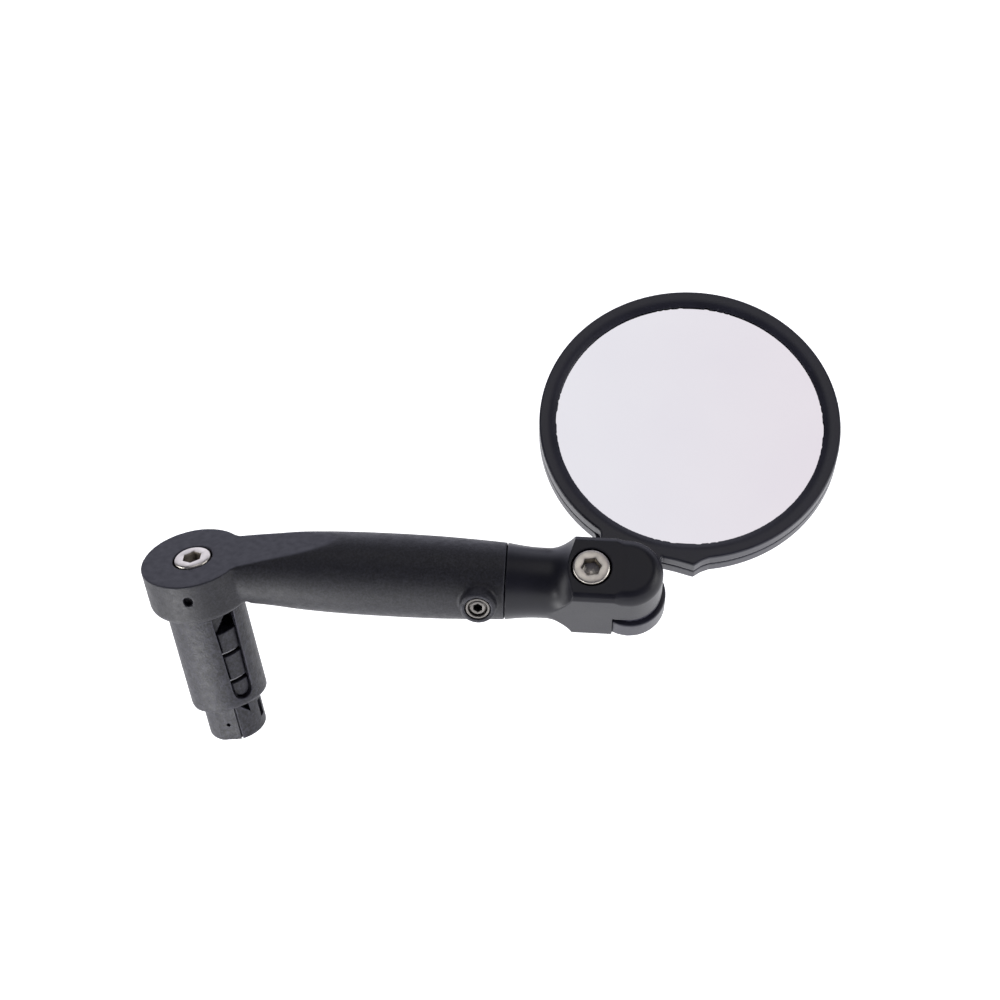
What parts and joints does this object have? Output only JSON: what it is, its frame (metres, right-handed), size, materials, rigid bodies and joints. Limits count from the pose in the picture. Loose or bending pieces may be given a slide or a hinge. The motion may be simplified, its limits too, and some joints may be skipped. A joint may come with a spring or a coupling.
{
  "type": "bar end mirror",
  "caption": "Round rear-view mirror on a folding knuckle and swivelling arm, held in the open end of a handlebar by an expanding plug.",
  "frame": {"origin": "on the flat ring under the hub that butts on the end of the handlebar, 9.85 mm towards -Y from the plug's axis", "axes": "+Z out of the bar along the plug's axis, +X the way the arm points seen from above, -Y towards the side with the grub screw"},
  "size_m": [0.1602, 0.0826, 0.063],
  "materials": {
    "black_nylon": "fine spark-eroded grain, glass-filled nylon",
    "satin_black": "satin moulded black",
    "bright_steel": "bright nickel-plated fastener",
    "spring_steel": "drawn spring wire",
    "brass": "turned",
    "acetal": "natural acetal",
    "mirror_glass": "silvered, slightly domed",
    "foam_pad": "closed-cell foam tape"
  },
  "bodies": {
    "plug": {"plug_sleeve": "black_nylon", "jaw_ring_upper": "spring_steel", "jaw_ring_lower": "spring_steel"},
    "jaw_front": {"jaw_front": "black_nylon"},
    "jaw_rear": {"jaw_rear": "black_nylon"},
    "cone": {"draw_cone": "black_nylon", "draw_nut": "bright_steel"},
    "bolt": {"plug_bolt": "bright_steel"},
    "arm": {"arm": "black_nylon", "bolt_washer": "bright_steel", "grub_insert": "brass"},
    "grub": {"grub_screw": "bright_steel"},
    "neck": {"swivel_neck": "satin_black", "lock_insert": "brass", "pivot_insert": "brass", "pivot_screw": "bright_steel", "pivot_washer": "spring_steel", "hinge_washer": "acetal"},
    "lock": {"lock_screw": "bright_steel"},
    "head": {"mirror_housing": "satin_black", "mirror_bezel": "satin_black", "mirror_glass": "mirror_glass", "glass_pad": "foam_pad"}
  },
  "joints": [
    {"name": "arm_swing", "type": "hinge", "parent": "plug", "child": "arm", "pos_m": [0, 0.00985, 0], "axis": [0, 0, 1], "continuous": true},
    {"name": "bolt_turn", "type": "hinge", "parent": "plug", "child": "bolt", "pos_m": [0, 0.00985, 0], "axis": [0, 0, -1], "range_deg": [0, 1262]},
    {"name": "cone_draw", "type": "slide", "parent": "plug", "child": "cone", "axis": [0, 0, 1], "range_m": [0, 0.0028]},
    {"name": "jaw_front_spread", "type": "slide", "parent": "plug", "child": "jaw_front", "axis": [0.6225, -0.7826, 0], "range_m": [0, 0.00121]},
    {"name": "jaw_rear_spread", "type": "slide", "parent": "plug", "child": "jaw_rear", "axis": [-0.6225, 0.7826, 0], "range_m": [0, 0.00121]},
    {"name": "grub_back_off", "type": "slide", "parent": "arm", "child": "grub", "axis": [-0.0067, -0.9994, -0.0343], "range_m": [0, 0.0015]},
    {"name": "neck_swivel", "type": "hinge", "parent": "arm", "child": "neck", "pos_m": [0, 0.00985, 0.0086], "axis": [0.9816, 0, -0.1908], "continuous": true},
    {"name": "lock_back_off", "type": "slide", "parent": "neck", "child": "lock", "axis": [0.1632, -0.518, 0.8396], "range_m": [0, 0.0015]},
    {"name": "mirror_fold", "type": "hinge", "parent": "neck", "child": "head", "pos_m": [0.09738, 0.00985, -0.01033], "axis": [-0.1632, 0.518, -0.8396], "range_deg": [-3, 150]}
  ],
  "couplings": [
    {"joint": "bolt_turn", "follows": "cone_draw", "rad_per_m": 7854},
    {"joint": "jaw_front_spread", "follows": "cone_draw", "ratio": 0.43},
    {"joint": "jaw_rear_spread", "follows": "cone_draw", "ratio": 0.43}
  ]
}
